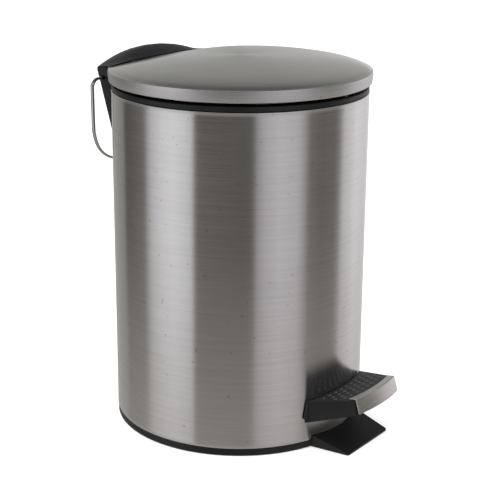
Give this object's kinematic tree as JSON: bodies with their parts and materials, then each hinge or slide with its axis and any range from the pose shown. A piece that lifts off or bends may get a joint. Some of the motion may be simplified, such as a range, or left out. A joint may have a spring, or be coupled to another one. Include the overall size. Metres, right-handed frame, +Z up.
{
  "type": "pedal bin",
  "caption": "Round steel pedal bin: domed lid hinged at the back, foot pedal with lever and push rod, plastic base, inner bucket and wire carry handle.",
  "frame": {"origin": "on the axis of the cylindrical body, at floor level", "axes": "+Z up, -Y towards the pedal, +Y towards the lid hinge, +X to the right of someone facing the hinge from the pedal side"},
  "size_m": [0.21, 0.2576, 0.2995],
  "materials": {
    "brushed_steel": "satin, fine horizontal grain",
    "black_plastic": "fine satin texture",
    "inner_plastic": "plain moulded",
    "rubber": "matt",
    "zinc_steel": "zinc plated",
    "chrome_wire": "bright plated"
  },
  "bodies": {
    "bin": {"body_shell": "brushed_steel", "base_tray": "black_plastic", "top_collar": "black_plastic", "hinge_bracket": "black_plastic", "backing_plate": "zinc_steel", "lever_bracket": "zinc_steel", "inner_bucket": "inner_plastic", "lever_pin": "zinc_steel", "hinge_pin": "zinc_steel", "anti_slip_pad_1": "rubber", "anti_slip_pad_2": "rubber", "anti_slip_pad_3": "rubber", "anti_slip_pad_4": "rubber", "lever_bracket_rivet_front": "zinc_steel", "lever_bracket_rivet_rear": "zinc_steel", "rod_guide_lower": "inner_plastic", "rod_guide_upper": "inner_plastic", "guide_rivet_lower": "zinc_steel", "guide_rivet_upper": "zinc_steel", "bracket_screw_low_left": "zinc_steel", "bracket_screw_low_right": "zinc_steel", "bracket_screw_high_left": "zinc_steel", "bracket_screw_high_right": "zinc_steel", "bucket_bail": "chrome_wire"},
    "lid": {"lid_cap": "brushed_steel", "lid_liner": "inner_plastic", "lid_hood": "black_plastic", "lug_pin": "zinc_steel", "lid_screw_left": "zinc_steel", "lid_screw_right": "zinc_steel", "lid_screw_middle": "zinc_steel", "lid_bumper_front": "rubber", "lid_bumper_left": "rubber", "lid_bumper_right": "rubber"},
    "pedal": {"pedal_lever": "zinc_steel", "pedal_pad": "black_plastic", "pedal_trim": "brushed_steel", "pedal_screw_left": "zinc_steel", "pedal_screw_right": "zinc_steel"},
    "rod": {"push_rod": "zinc_steel", "rod_head": "inner_plastic", "rod_foot": "inner_plastic"},
    "handle": {"carry_handle": "chrome_wire"}
  },
  "joints": [
    {"name": "lid_hinge", "type": "hinge", "parent": "bin", "child": "lid", "pos_m": [0, 0.11, 0.2725], "axis": [-1, 0, 0], "range_deg": [0, 80]},
    {"name": "pedal_pivot", "type": "hinge", "parent": "bin", "child": "pedal", "pos_m": [0, -0.0335, 0.014], "axis": [1, 0, 0], "range_deg": [0, 12]},
    {"name": "rod_slide", "type": "slide", "parent": "bin", "child": "rod", "axis": [0, 0, 1], "range_m": [0, 0.026]},
    {"name": "handle_pivot", "type": "hinge", "parent": "bin", "child": "handle", "pos_m": [0, 0.107, 0.2755], "axis": [1, 0, 0], "range_deg": [0, 100]}
  ],
  "couplings": [
    {"joint": "pedal_pivot", "follows": "lid_hinge", "ratio": 0.1454},
    {"joint": "rod_slide", "follows": "lid_hinge", "m_per_rad": 0.01841}
  ]
}
